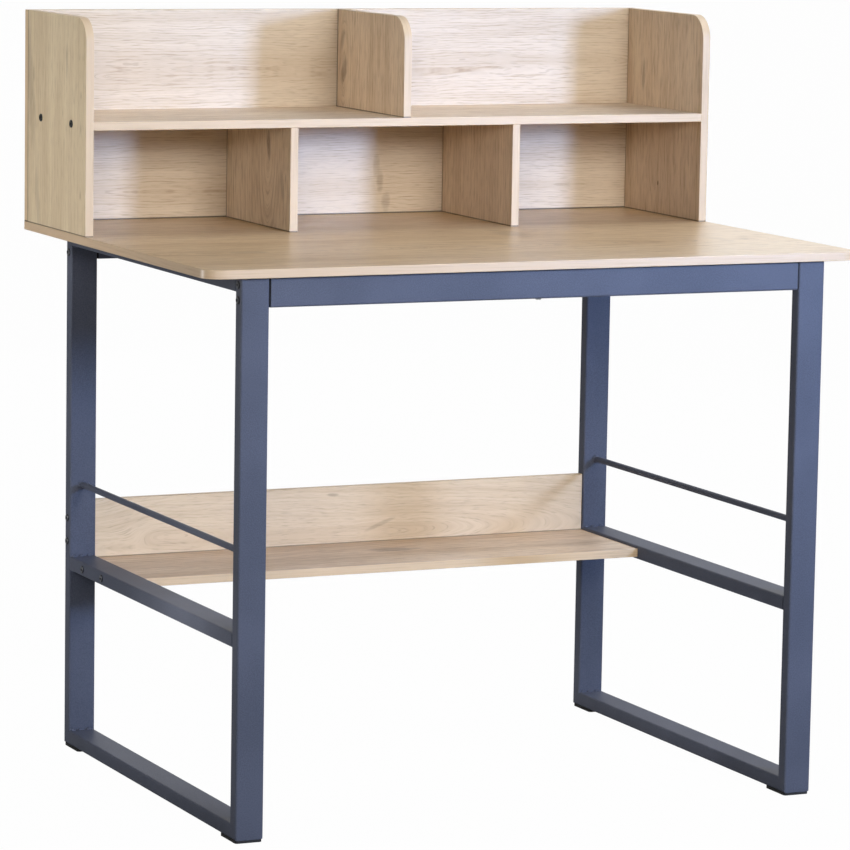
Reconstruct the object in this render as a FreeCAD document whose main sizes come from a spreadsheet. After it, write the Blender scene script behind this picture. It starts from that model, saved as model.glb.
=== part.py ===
"""Student desk with a hutch: a bolted steel tube frame, laminate boards and their fasteners.

Lengths are in millimetres. +Z is up and +Y points to the rear. The origin is on the floor, under the middle
of the tabletop.
"""
import FreeCAD
import Part
import Sketcher
import os
import re

# Driving sizes
SIZES = {
    # tabletop
    "top_width": 970,
    "top_depth": 710,
    "top_thickness": 12,
    "top_corner_radius": 28,
    # steel frame
    "frame_height": 746,
    "side_overhang": 52,
    "front_overhang": 12,
    "rear_overhang": 34,
    "tube_wide": 40,
    "tube_narrow": 20,
    "tube_wall": 1.5,
    "tube_corner": 3,
    "apron_tall": 40,
    "apron_deep": 20,
    "end_plate_thickness": 2,
    "end_plate_margin": 1.2,
    "shelf_rail_level": 270,
    "rod_diameter": 9,
    "rod_level": 384,
    # foot pads
    "pad_thickness": 4,
    "pad_length": 55,
    "pad_width": 38,
    "pad_corner": 4,
    "pad_inset": 1,
    "stem_diameter": 10,
    "stem_length": 9,
    "stem_gap": 0.2,
    # lower shelf and its low back panel
    "lower_shelf_depth": 200,
    "lower_shelf_thickness": 12,
    "lower_panel_height": 85,
    "lower_panel_thickness": 12,
    # hutch
    "hutch_height": 302,
    "hutch_depth": 241,
    "hutch_thickness": 12,
    "hutch_back_thickness": 12,
    "hutch_corner_radius": 36,
    "lower_bay_height": 147,
    "middle_bay_width": 334,
    "edge_round": 0.8,
    # hex-socket bolts with their nuts
    "bolt_diameter": 6,
    "bolt_head_diameter": 11,
    "bolt_head_height": 1.8,
    "bolt_crown_diameter": 8.6,
    "socket_across": 4,
    "socket_depth": 2.2,
    "bolt_tail": 5,
    "bolt_gap": 0.6,
    "thread_gap": 0.2,
    "nut_across": 10,
    "nut_thickness": 5,
    "barrel_diameter": 9,
    "barrel_length": 9,
    "barrel_setback": 24,
    "apron_bolt_spacing": 20,
    "lower_panel_bolt_spacing": 34,
    "lower_shelf_bolt_spacing": 78,
    "lower_shelf_bolt_inset": 52,
    "hutch_bolt_inset": 58,
    # wood screws and dowels
    "screw_diameter": 4,
    "screw_head_diameter": 8,
    "screw_head_height": 2,
    "screw_gap": 0.5,
    "hutch_screw_length": 28,
    "top_screw_bite": 9,
    "top_screw_inset": 120,
    "hutch_screw_inset": 50,
    "dowel_diameter": 6,
    "dowel_length": 18,
    "dowel_in_shelf": 7,
    "dowel_inset": 60,
    "dowel_gap": 0.2,
}

# Places and lengths that follow from the driving sizes
PLACES = {
    "underside_level": "pad_thickness + frame_height",
    "top_level": "underside_level + top_thickness",
    "frame_width": "top_width - 2 * side_overhang",
    "frame_depth": "top_depth - front_overhang - rear_overhang",
    "frame_front": "front_overhang - top_depth / 2",
    "front_leg_middle": "frame_front + tube_narrow / 2",
    "rear_leg_front": "frame_front + frame_depth - tube_narrow",
    "rear_leg_middle": "rear_leg_front + tube_narrow / 2",
    "rail_length": "frame_depth - 2 * tube_narrow",
    "tube_middle": "frame_width / 2 - tube_wide / 2",
    "inner_span": "frame_width - 2 * tube_wide",
    "apron_length": "inner_span - 2 * end_plate_thickness",
    "apron_middle_level": "underside_level - apron_tall / 2",
    "lower_shelf_rear": "rear_leg_middle + lower_panel_thickness / 2",
    "lower_shelf_front": "lower_shelf_rear - lower_shelf_depth",
    "lower_shelf_bottom": "shelf_rail_level - lower_shelf_thickness / 2",
    "lower_panel_bottom": "lower_shelf_bottom + lower_shelf_thickness",
    "lower_panel_middle_level": "lower_panel_bottom + lower_panel_height / 2",
    "hutch_rear": "top_depth / 2 - hutch_back_thickness",
    "hutch_front": "hutch_rear - hutch_depth",
    "hutch_shelf_bottom": "top_level + lower_bay_height",
    "hutch_shelf_top": "hutch_shelf_bottom + hutch_thickness",
    "hutch_shelf_length": "top_width - 2 * hutch_thickness",
    "upper_divider_height": "hutch_height - lower_bay_height - hutch_thickness",
    "divider_offset": "middle_bay_width / 2 + hutch_thickness / 2",
    "apron_bolt_length": "tube_wide + end_plate_thickness + nut_thickness + bolt_tail",
    "lower_bolt_length": "tube_wide + barrel_setback + barrel_diameter / 2 + bolt_tail",
    "hutch_bolt_length": "hutch_thickness + barrel_setback + barrel_diameter / 2 + bolt_tail",
    "bolt_bore": "bolt_diameter + bolt_gap",
    "thread_bore": "bolt_diameter + thread_gap",
    "head_recess": "screw_head_height + thread_gap",
    "board_bolt_depth": "barrel_setback + barrel_diameter / 2 + 2 * bolt_tail",
    "barrel_bore": "barrel_diameter + thread_gap",
    "screw_bore": "screw_diameter + screw_gap",
    "pilot_bore": "screw_diameter + thread_gap",
    "pilot_depth": "hutch_screw_length + head_recess + thread_gap",
    "head_bore": "screw_head_diameter + screw_gap",
    "dowel_bore": "dowel_diameter + dowel_gap",
    "dowel_divider_depth": "dowel_length - dowel_in_shelf + dowel_gap",
}

SHEET = "Sizes"
SIDES = {"left": -1, "right": 1}
ENDS = ("front", "rear")
X_AXIS = FreeCAD.Vector(1, 0, 0)
Y_AXIS = FreeCAD.Vector(0, 1, 0)
Z_AXIS = FreeCAD.Vector(0, 0, 1)
TOLERANCE = 1e-4

doc = FreeCAD.newDocument("StudentDesk")
subparts = []


# Sheet, expressions and placements

def make_sheet():
    """Write every size and place into the sheet under its own alias."""
    sheet = doc.addObject("Spreadsheet::Sheet", SHEET)
    cells = {alias: str(number) for alias, number in SIZES.items()}
    cells.update({alias: "=" + formula for alias, formula in PLACES.items()})
    for row, (alias, text) in enumerate(cells.items(), 1):
        sheet.set(f"A{row}", alias)
        sheet.setAlias(f"B{row}", alias)
        sheet.set(f"B{row}", text)
    doc.recompute()


def linked(formula):
    """A formula in alias names, with each name pointing at the sheet."""
    return re.sub(r"[a-z_]+", lambda name: f"{SHEET}.{name.group(0)}", formula)


def bind(item, **formulas):
    """Bind properties of an object to formulas."""
    for name, formula in formulas.items():
        item.setExpression(name, linked(formula))


def place(item, x="0", y="0", z="0"):
    """Bind the place of an object."""
    for axis, formula in zip("xyz", (x, y, z)):
        item.setExpression(f"Placement.Base.{axis}", linked(formula))


def subpart(item, label):
    """Name a finished sub-part and keep it for export."""
    item.Label = label
    subparts.append(item)
    return item


# Sketches and features

def new_sketch(body, name, plane, offset=None):
    """A sketch on one of the body's own origin planes, moved along its normal by an optional formula."""
    sketch = body.newObject("Sketcher::SketchObject", f"{body.Name}_{name}")
    support = next(item for item in body.Origin.OriginFeatures if item.Role == f"{plane}_Plane")
    sketch.AttachmentSupport = [(support, "")]
    sketch.MapMode = "FlatFace"
    if offset:
        sketch.setExpression("AttachmentOffset.Base.z", linked(offset))
    return sketch


def pin(sketch, curve, point, x, y):
    """Hold one point of a curve at formulas x and y from the sketch's origin."""
    for kind, axis, formula in (("DistanceX", -2, x), ("DistanceY", -1, y)):
        if formula == "0":
            sketch.addConstraint(Sketcher.Constraint("PointOnObject", curve, point, axis))
        else:
            index = sketch.addConstraint(Sketcher.Constraint(kind, -1, 1, curve, point, 1.0))
            sketch.setExpression(f"Constraints[{index}]", linked(formula))


def draw_polygon(sketch, corners):
    """Draw a closed outline through corners given as pairs of formulas."""
    first = sketch.GeometryCount
    count = len(corners)
    rough = [FreeCAD.Vector(0 if x == "0" else 1 + i, 0 if y == "0" else 1 + i, 0)
             for i, (x, y) in enumerate(corners)]
    for i in range(count):
        sketch.addGeometry(Part.LineSegment(rough[i], rough[(i + 1) % count]))
    for i, (x, y) in enumerate(corners):
        sketch.addConstraint(Sketcher.Constraint("Coincident", first + i, 2, first + (i + 1) % count, 1))
        pin(sketch, first + i, 1, x, y)


def draw_rectangle(sketch, width, height, margin="0"):
    """Draw a rectangle from the origin, shrunk on every side by an optional margin."""
    right = width if margin == "0" else f"{width} - {margin}"
    upper = height if margin == "0" else f"{height} - {margin}"
    draw_polygon(sketch, [(margin, margin), (right, margin), (right, upper), (margin, upper)])


def draw_circles(sketch, spots, diameter):
    """Draw equal circles centred at pairs of formulas."""
    for i, (x, y) in enumerate(spots):
        circle = sketch.addGeometry(Part.Circle(FreeCAD.Vector(1 + i, 1, 0), Z_AXIS, 1.0))
        pin(sketch, circle, 3, x, y)
        if i:
            sketch.addConstraint(Sketcher.Constraint("Equal", 0, circle))
        else:
            index = sketch.addConstraint(Sketcher.Constraint("Diameter", circle, 2.0))
            sketch.setExpression(f"Constraints[{index}]", linked(diameter))


def pad(body, sketch, length, reverse=False):
    """Pad a sketch by a formula."""
    feature = body.newObject("PartDesign::Pad", f"{sketch.Name}_pad")
    feature.Profile = sketch
    feature.Reversed = reverse
    bind(feature, Length=length)
    doc.recompute()
    return feature


def pocket(body, sketch, depth=None, reverse=False):
    """Cut a sketch out of a body, right through or to a depth, and make sure that it removed something."""
    before = body.Shape.Volume
    feature = body.newObject("PartDesign::Pocket", f"{sketch.Name}_pocket")
    feature.Profile = sketch
    feature.Reversed = reverse
    if depth:
        bind(feature, Length=depth)
    else:
        feature.Type = "ThroughAll"
    doc.recompute()
    if body.Shape.Volume > before - TOLERANCE:
        raise RuntimeError(f"{feature.Name} removed nothing")


def drill(body, name, plane, spots, diameter, depth=None, far=None, into_plus=True):
    """Drill equal holes from an origin plane, or from a plane at formula far, towards + or - of its axis."""
    offset = far
    if far and plane == "XZ":
        offset = f"-({far})"
    sketch = new_sketch(body, name, plane, offset)
    draw_circles(sketch, spots, diameter)
    plane_looks_back = plane == "XZ"
    pocket(body, sketch, depth, reverse=into_plus != plane_looks_back)


def outer_edges(shape, picks):
    """Names of the edges whose middle point satisfies picks(point, box)."""
    box = shape.BoundBox
    names = []
    for number, edge in enumerate(shape.Edges, 1):
        middle = edge.valueAt((edge.FirstParameter + edge.LastParameter) / 2)
        if picks(middle, box):
            names.append(f"Edge{number}")
    return names


def fillet(body, base, radius, picks):
    """Round the picked edges of a feature by a formula."""
    feature = body.newObject("PartDesign::Fillet", f"{base.Name}_fillet")
    feature.Base = (base, outer_edges(base.Shape, picks))
    bind(feature, Radius=radius)
    doc.recompute()
    return feature


def near(a, b):
    """Whether two coordinates are the same."""
    return abs(a - b) < TOLERANCE


def on_ends(value, low, high):
    """Whether a coordinate lies on either end of a range."""
    return near(value, low) or near(value, high)


# Steel tube

def tube(name, axis, length, first="tube_wide", second="tube_narrow"):
    """A hollow tube along an axis from the local origin, with rounded outer corners."""
    body = doc.addObject("PartDesign::Body", name)
    plane = {"X": "YZ", "Y": "XZ", "Z": "XY"}[axis]
    sketch = new_sketch(body, "section", plane)
    draw_rectangle(sketch, first, second)
    draw_rectangle(sketch, first, second, "tube_wall")
    base = pad(body, sketch, length, reverse=axis == "Y")

    def long_corner(point, box):
        across = {
            "X": on_ends(point.y, box.YMin, box.YMax) and on_ends(point.z, box.ZMin, box.ZMax),
            "Y": on_ends(point.x, box.XMin, box.XMax) and on_ends(point.z, box.ZMin, box.ZMax),
            "Z": on_ends(point.x, box.XMin, box.XMax) and on_ends(point.y, box.YMin, box.YMax),
        }
        return across[axis]

    fillet(body, base, "tube_corner", long_corner)
    return body


def mitre(body, name, corners):
    """Cut a tube's end off at 45 degrees, seen from the side."""
    sketch = new_sketch(body, name, "YZ")
    draw_polygon(sketch, corners)
    pocket(body, sketch, reverse=True)


def apron_bolt_spots():
    """Centres of the apron bolts on a leg, seen from the side."""
    middle = "frame_height - apron_tall / 2"
    return [("tube_narrow / 2", f"{middle} {sign} apron_bolt_spacing / 2") for sign in "-+"]


def leg(side, end):
    """A leg, mitred at the foot and drilled for the bolts that pass through it."""
    body = tube(f"{side}_{end}_leg", "Z", "frame_height")
    high_corner = ("tube_narrow", "tube_narrow") if end == "front" else ("0", "tube_narrow")
    mitre(body, "mitre", [("0", "0"), ("tube_narrow", "0"), high_corner])
    drill(body, "apron_bolts", "YZ", apron_bolt_spots(), "bolt_bore")
    if end == "rear":
        middle = "lower_panel_middle_level - pad_thickness"
        spots = [("tube_narrow / 2", f"{middle} {sign} lower_panel_bolt_spacing / 2") for sign in "-+"]
        drill(body, "panel_bolts", "YZ", spots, "bolt_bore")
    y = "frame_front" if end == "front" else "rear_leg_front"
    place(body, side_start(side), y, "pad_thickness")
    subpart(body, f"{side}_{end}_leg")


def side_start(side):
    """Lower x of a side frame's tubes."""
    return "-frame_width / 2" if side == "left" else "frame_width / 2 - tube_wide"


def pad_middles():
    """Middles of the foot pads along a foot rail, from its front end."""
    reach = "pad_inset + pad_length / 2"
    return {"front": reach, "rear": f"frame_depth - ({reach})"}


def foot_rail(side):
    """The rail along the floor, mitred to both legs, with holes for the stems of the foot pads."""
    body = tube(f"{side}_foot_rail", "Y", "frame_depth")
    mitre(body, "front_mitre", [("0", "0"), ("tube_narrow", "tube_narrow"), ("0", "tube_narrow")])
    mitre(body, "rear_mitre", [("frame_depth", "0"), ("frame_depth", "tube_narrow"),
                               ("frame_depth - tube_narrow", "tube_narrow")])
    spots = [("tube_wide / 2", middle) for middle in pad_middles().values()]
    drill(body, "stems", "XY", spots, "stem_diameter + stem_gap", "tube_wall")
    place(body, side_start(side), "frame_front", "pad_thickness")
    subpart(body, f"{side}_foot_rail")


def top_rail(side):
    """The rail under the tabletop, butted between the legs, drilled for the tabletop screws."""
    body = tube(f"{side}_top_rail", "Y", "rail_length")
    spots = [("tube_wide / 2", "top_screw_inset"), ("tube_wide / 2", "rail_length - top_screw_inset")]
    drill(body, "screws", "XY", spots, "screw_bore")
    place(body, side_start(side), "frame_front + tube_narrow", "underside_level - tube_narrow")
    subpart(body, f"{side}_top_rail")


def lower_shelf_bolt_places():
    """Places of the lower shelf's bolts along the desk's depth."""
    first = "lower_shelf_front + lower_shelf_bolt_inset"
    return [first, f"{first} + lower_shelf_bolt_spacing"]


def shelf_rail(side):
    """The rail that carries the lower shelf, butted between the legs."""
    body = tube(f"{side}_shelf_rail", "Y", "rail_length")
    spots = [(f"{y} - frame_front - tube_narrow", "tube_narrow / 2") for y in lower_shelf_bolt_places()]
    drill(body, "bolts", "YZ", spots, "bolt_bore")
    place(body, side_start(side), "frame_front + tube_narrow", "shelf_rail_level - tube_narrow / 2")
    subpart(body, f"{side}_shelf_rail")


def guard_rod(side, sign):
    """The round rod above the shelf rail, between the legs."""
    rod = doc.addObject("Part::Cylinder", f"{side}_guard_rod")
    rod.Placement.Rotation = FreeCAD.Rotation(X_AXIS, -90)
    bind(rod, Radius="rod_diameter / 2", Height="rail_length")
    place(rod, f"{sign} * tube_middle", "frame_front + tube_narrow", "rod_level")
    subpart(rod, f"{side}_guard_rod")


def apron(end):
    """A cross tube under the tabletop, drilled for one tabletop screw in its middle."""
    body = tube(f"{end}_apron", "X", "apron_length", "apron_deep", "apron_tall")
    drill(body, "screw", "XY", [("apron_length / 2", "apron_deep / 2")], "screw_bore")
    place(body, "-apron_length / 2", f"{end_middle(end)} - apron_deep / 2", "underside_level - apron_tall")
    subpart(body, f"{end}_apron")


def end_middle(end):
    """Middle of the front or rear legs along the desk's depth."""
    return "front_leg_middle" if end == "front" else "rear_leg_middle"


def foot_pad(side, sign, end):
    """A foot pad whose stem plugs into the foot rail."""
    body = doc.addObject("PartDesign::Body", f"{side}_{end}_foot_pad")
    sole = new_sketch(body, "sole", "XY")
    draw_rectangle(sole, "pad_width", "pad_length")
    base = pad(body, sole, "pad_thickness")
    fillet(body, base, "pad_corner", lambda point, box: on_ends(point.x, box.XMin, box.XMax)
           and on_ends(point.y, box.YMin, box.YMax))
    stem = new_sketch(body, "stem", "XY", "pad_thickness")
    draw_circles(stem, [("pad_width / 2", "pad_length / 2")], "stem_diameter")
    pad(body, stem, "stem_length")
    place(body, f"{sign} * tube_middle - pad_width / 2", f"frame_front + {pad_middles()[end]} - pad_length / 2")
    subpart(body, f"{side}_{end}_foot_pad")


# Boards

def board(name, plane, first, second, thickness):
    """A rectangular board drawn on a plane from the local origin and padded by its thickness."""
    body = doc.addObject("PartDesign::Body", name)
    sketch = new_sketch(body, "outline", plane)
    draw_rectangle(sketch, first, second)
    base = pad(body, sketch, thickness, reverse=plane == "XZ")
    return body, base


def base_screw_spots():
    """Screws from under the tabletop into the hutch, from the tabletop's left front corner."""
    front = "hutch_front + top_depth / 2 + hutch_screw_inset"
    rear = "hutch_rear + top_depth / 2 - hutch_screw_inset"
    stands = ["hutch_thickness / 2", "top_width / 2 - divider_offset", "top_width / 2 + divider_offset",
              "top_width - hutch_thickness / 2"]
    return [(x, y) for x in stands for y in (front, rear)]


def top_screw_places():
    """Screws from the frame into the tabletop, in the desk's frame, with the level that each starts from."""
    spots = [("0", end_middle(end), "underside_level - apron_tall") for end in ENDS]
    start = "frame_front + tube_narrow"
    for sign in SIDES.values():
        for y in ("top_screw_inset", "rail_length - top_screw_inset"):
            spots.append((f"{sign} * tube_middle", f"{start} + {y}", "underside_level - tube_narrow"))
    return spots


def tabletop():
    """The top board: round front corners, softened edges and the screw holes in its underside."""
    body, base = board("tabletop", "XY", "top_width", "top_depth", "top_thickness")
    cornered = fillet(body, base, "top_corner_radius", lambda point, box: near(point.y, box.YMin)
                      and on_ends(point.x, box.XMin, box.XMax))
    fillet(body, cornered, "edge_round", lambda point, box: on_ends(point.z, box.ZMin, box.ZMax))
    drill(body, "base_screws", "XY", base_screw_spots(), "screw_bore")
    drill(body, "base_heads", "XY", base_screw_spots(), "head_bore", "head_recess")
    spots = [(f"{x} + top_width / 2", f"{y} + top_depth / 2") for x, y, level in top_screw_places()]
    drill(body, "frame_screws", "XY", spots, "pilot_bore", "top_screw_bite + thread_gap")
    place(body, "-top_width / 2", "-top_depth / 2", "underside_level")
    subpart(body, "tabletop")


def upright(name, height):
    """A hutch board that stands across the desk."""
    return board(name, "YZ", "hutch_depth", height, "hutch_thickness")


def soften_sides(body, base):
    """Round all the edges round both faces of a standing board, so that its seams show as fine grooves."""
    fillet(body, base, "edge_round", lambda point, box: on_ends(point.x, box.XMin, box.XMax))


def round_top(body, base):
    """Round the upper front corner of a standing board."""
    return fillet(body, base, "hutch_corner_radius", lambda point, box: near(point.y, box.YMin)
                  and near(point.z, box.ZMax))


def base_pilots(body):
    """Pilot holes for the two screws that come up through the tabletop."""
    spots = [("hutch_thickness / 2", "hutch_screw_inset"),
             ("hutch_thickness / 2", "hutch_depth - hutch_screw_inset")]
    drill(body, "base_pilots", "XY", spots, "pilot_bore", "pilot_depth - top_thickness")


def rear_pilots(body, heights):
    """Pilot holes for the screws that come in through the back panel."""
    spots = [("hutch_thickness / 2", z) for z in heights]
    drill(body, "rear_pilots", "XZ", spots, "pilot_bore", "pilot_depth - hutch_back_thickness",
          far="hutch_depth", into_plus=False)


def side_screw_heights():
    """Heights of the back panel's screws in each hutch side, above the tabletop."""
    return ["hutch_screw_inset", "hutch_height - hutch_screw_inset"]


def hutch_bolt_places():
    """Places of the hutch shelf's bolts, from the hutch's front."""
    return ["hutch_bolt_inset", "hutch_depth - hutch_bolt_inset"]


def hutch_side(side):
    """A hutch side, drilled for the shelf bolts."""
    body, base = upright(f"hutch_{side}_panel", "hutch_height")
    soften_sides(body, round_top(body, base))
    spots = [(y, "lower_bay_height + hutch_thickness / 2") for y in hutch_bolt_places()]
    drill(body, "shelf_bolts", "YZ", spots, "bolt_bore")
    base_pilots(body)
    rear_pilots(body, side_screw_heights())
    x = "-top_width / 2" if side == "left" else "top_width / 2 - hutch_thickness"
    place(body, x, "hutch_front", "top_level")
    subpart(body, f"hutch_{side}_panel")


def lower_divider(side, sign):
    """A divider between the tabletop and the hutch shelf."""
    body, base = upright(f"hutch_lower_{side}_divider", "lower_bay_height")
    soften_sides(body, base)
    base_pilots(body)
    rear_pilots(body, ["lower_bay_height / 2"])
    drill(body, "dowel", "XY", [("hutch_thickness / 2", "dowel_inset")], "dowel_bore", "dowel_divider_depth",
          far="lower_bay_height", into_plus=False)
    place(body, f"{sign} * divider_offset - hutch_thickness / 2", "hutch_front", "top_level")
    subpart(body, f"hutch_lower_{side}_divider")


def upper_dowel_places():
    """Places of the upper divider's dowels, from the hutch's front."""
    return ["dowel_inset", "hutch_depth - dowel_inset"]


def upper_divider():
    """The divider that stands in the middle of the hutch shelf."""
    body, base = upright("hutch_upper_divider", "upper_divider_height")
    soften_sides(body, round_top(body, base))
    rear_pilots(body, ["upper_divider_height / 2"])
    spots = [("hutch_thickness / 2", y) for y in upper_dowel_places()]
    drill(body, "dowels", "XY", spots, "dowel_bore", "dowel_divider_depth")
    place(body, "-hutch_thickness / 2", "hutch_front", "hutch_shelf_top")
    subpart(body, "hutch_upper_divider")


def end_drilling(body, name, length, spots):
    """Bolt holes in both ends of a board whose length runs along x."""
    drill(body, f"{name}_left_bolts", "YZ", spots, "thread_bore", "board_bolt_depth")
    drill(body, f"{name}_right_bolts", "YZ", spots, "thread_bore", "board_bolt_depth",
          far=length, into_plus=False)


def barrel_spots(length, across):
    """Centres of the barrel nuts near both ends of a board."""
    return [(x, y) for x in ("barrel_setback", f"{length} - barrel_setback") for y in across]


def hutch_shelf():
    """The full-width hutch shelf, bolted between the sides."""
    body, base = board("hutch_shelf", "XY", "hutch_shelf_length", "hutch_depth", "hutch_thickness")
    fillet(body, base, "edge_round", lambda point, box: near(point.y, box.YMin)
           and on_ends(point.z, box.ZMin, box.ZMax))
    end_drilling(body, "end", "hutch_shelf_length", [(y, "hutch_thickness / 2") for y in hutch_bolt_places()])
    drill(body, "barrels", "XY", barrel_spots("hutch_shelf_length", hutch_bolt_places()), "barrel_bore",
          "hutch_thickness / 2 + barrel_length / 2")
    lower = [(f"hutch_shelf_length / 2 + {sign} * divider_offset", "dowel_inset") for sign in SIDES.values()]
    drill(body, "lower_dowels", "XY", lower, "dowel_bore", "dowel_in_shelf")
    upper = [("hutch_shelf_length / 2", y) for y in upper_dowel_places()]
    drill(body, "upper_dowels", "XY", upper, "dowel_bore", "dowel_in_shelf",
          far="hutch_thickness", into_plus=False)
    place(body, "-hutch_shelf_length / 2", "hutch_front", "hutch_shelf_bottom")
    subpart(body, "hutch_shelf")


def back_screw_spots():
    """Screws through the hutch's back panel, from its lower left corner."""
    spots = [(x, z) for x in ("hutch_thickness / 2", "top_width - hutch_thickness / 2")
             for z in side_screw_heights()]
    spots += [(f"top_width / 2 + {sign} * divider_offset", "lower_bay_height / 2") for sign in SIDES.values()]
    spots.append(("top_width / 2", "lower_bay_height + hutch_thickness + upper_divider_height / 2"))
    return spots


def hutch_back():
    """The hutch's back panel, which covers the rear edges of the sides."""
    body, base = board("hutch_back_panel", "XZ", "top_width", "hutch_height", "hutch_back_thickness")
    fillet(body, base, "edge_round", lambda point, box: on_ends(point.y, box.YMin, box.YMax))
    drill(body, "screws", "XZ", back_screw_spots(), "screw_bore")
    drill(body, "heads", "XZ", back_screw_spots(), "head_bore", "head_recess",
          far="hutch_back_thickness", into_plus=False)
    place(body, "-top_width / 2", "hutch_rear", "top_level")
    subpart(body, "hutch_back_panel")


def lower_shelf():
    """The shelf between the side frames."""
    body, base = board("lower_shelf", "XY", "inner_span", "lower_shelf_depth", "lower_shelf_thickness")
    fillet(body, base, "edge_round", lambda point, box: near(point.y, box.YMin)
           and on_ends(point.z, box.ZMin, box.ZMax))
    across = [f"{y} - lower_shelf_front" for y in lower_shelf_bolt_places()]
    end_drilling(body, "end", "inner_span", [(y, "lower_shelf_thickness / 2") for y in across])
    drill(body, "barrels", "XY", barrel_spots("inner_span", across), "barrel_bore",
          "lower_shelf_thickness / 2 + barrel_length / 2")
    place(body, "-inner_span / 2", "lower_shelf_front", "lower_shelf_bottom")
    subpart(body, "lower_shelf")


def lower_panel():
    """The low panel that stands on the rear of the lower shelf, bolted between the rear legs."""
    body, base = board("lower_back_panel", "XZ", "inner_span", "lower_panel_height", "lower_panel_thickness")
    fillet(body, base, "edge_round", lambda point, box: on_ends(point.y, box.YMin, box.YMax))
    heights = [f"lower_panel_height / 2 {sign} lower_panel_bolt_spacing / 2" for sign in "-+"]
    end_drilling(body, "end", "inner_span", [("lower_panel_thickness / 2", z) for z in heights])
    drill(body, "barrels", "XZ", barrel_spots("inner_span", heights), "barrel_bore",
          "lower_panel_thickness / 2 + barrel_length / 2", far="lower_panel_thickness", into_plus=False)
    place(body, "-inner_span / 2", "rear_leg_middle - lower_panel_thickness / 2", "lower_panel_bottom")
    subpart(body, "lower_back_panel")


# Fasteners: one master each, repeated by links

def cylinder(name, diameter, height, z="0"):
    """An upright cylinder."""
    item = doc.addObject("Part::Cylinder", name)
    bind(item, Radius=f"({diameter}) / 2", Height=height)
    place(item, z=z)
    return item


def hexagon(name, across, height, z="0"):
    """An upright hexagonal prism, sized across its flats."""
    item = doc.addObject("Part::Prism", name)
    item.Polygon = 6
    bind(item, Height=height)
    item.setExpression("Circumradius", f"{SHEET}.{across} / sqrt(3)")
    place(item, z=z)
    return item


def fused(name, *items):
    """One solid out of several that touch."""
    item = doc.addObject("Part::MultiFuse", name)
    item.Shapes = list(items)
    return item


def cut(name, base, tool):
    """A solid with another one taken out of it."""
    item = doc.addObject("Part::Cut", name)
    item.Base = base
    item.Tool = tool
    return item


def bolt_master(name, length):
    """A hex-socket bolt along +z, with the underside of its head at z = 0."""
    shank = cylinder(f"{name}_shank", "bolt_diameter", length)
    rim = cylinder(f"{name}_rim", "bolt_head_diameter", "bolt_head_height / 2", "-bolt_head_height / 2")
    crown = doc.addObject("Part::Cone", f"{name}_crown")
    bind(crown, Radius1="bolt_crown_diameter / 2", Radius2="bolt_head_diameter / 2",
         Height="bolt_head_height / 2")
    place(crown, z="-bolt_head_height")
    socket = hexagon(f"{name}_socket", "socket_across", "socket_depth", "-bolt_head_height")
    return cut(f"{name}_master", fused(f"{name}_blank", shank, rim, crown), socket)


def screw_master(name, length):
    """A wood screw along +z, with the underside of its head at z = 0."""
    shank = cylinder(f"{name}_shank", "screw_diameter", length)
    head = cylinder(f"{name}_head", "screw_head_diameter", "screw_head_height", "-screw_head_height")
    return fused(f"{name}_master", shank, head)


def copies(label, master, spots):
    """A group of separate copies of a master, each at a place and turned by a rotation."""
    links = []
    for number, (x, y, z, rotation) in enumerate(spots, 1):
        link = doc.addObject("App::Link", f"{label}_{number}")
        link.LinkedObject = master
        link.LinkTransform = False
        link.Placement = FreeCAD.Placement(FreeCAD.Vector(), rotation)
        place(link, x, y, z)
        links.append(link)
    group = doc.addObject("Part::Compound", f"{label}_group")
    group.Links = links
    subpart(group, label)


def inward(sign):
    """Turns +z towards the desk's middle from the left (-1) or right (1) side."""
    return FreeCAD.Rotation(Y_AXIS, -90 * sign)


UP = FreeCAD.Rotation()
FORWARD = FreeCAD.Rotation(X_AXIS, 90)


def apron_fasteners():
    """The apron bolts, with the end plates and weld nuts that they screw into."""
    levels = [f"apron_middle_level {sign} apron_bolt_spacing / 2" for sign in "-+"]
    spots = [(sign, end_middle(end), level) for sign in SIDES.values() for end in ENDS for level in levels]
    copies("apron_bolts", bolt_master("apron_bolt", "apron_bolt_length"),
           [(f"{sign} * frame_width / 2", y, z, inward(sign)) for sign, y, z in spots])
    blank = hexagon("weld_nut_blank", "nut_across", "nut_thickness")
    nut = cut("weld_nut_master", blank, cylinder("weld_nut_bore", "thread_bore", "nut_thickness"))
    copies("apron_weld_nuts", nut,
           [(f"{sign} * apron_length / 2", y, z, inward(sign)) for sign, y, z in spots])
    plate = end_plate_master()
    copies("apron_end_plates", plate,
           [(f"{sign} * inner_span / 2", end_middle(end), "apron_middle_level", inward(sign))
            for sign in SIDES.values() for end in ENDS])


def end_plate_master():
    """An apron's end plate along +z with its two bolt holes in a row along x."""
    blank = doc.addObject("Part::Box", "end_plate_blank")
    bind(blank, Length="apron_tall - 2 * end_plate_margin", Width="apron_deep - 2 * end_plate_margin",
         Height="end_plate_thickness")
    place(blank, "end_plate_margin - apron_tall / 2", "end_plate_margin - apron_deep / 2")
    bores = []
    for number, sign in enumerate("-+", 1):
        bore = cylinder(f"end_plate_bore_{number}", "bolt_bore", "end_plate_thickness")
        place(bore, f"{sign}apron_bolt_spacing / 2")
        bores.append(bore)
    return cut("end_plate_master", blank, fused("end_plate_bores", *bores))


def lower_fasteners():
    """The long bolts of the lower shelf and the low back panel."""
    panel_levels = [f"lower_panel_middle_level {sign} lower_panel_bolt_spacing / 2" for sign in "-+"]
    spots = []
    for sign in SIDES.values():
        x = f"{sign} * frame_width / 2"
        spots += [(x, y, "shelf_rail_level", inward(sign)) for y in lower_shelf_bolt_places()]
        spots += [(x, "rear_leg_middle", z, inward(sign)) for z in panel_levels]
    copies("lower_bolts", bolt_master("lower_bolt", "lower_bolt_length"), spots)


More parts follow.
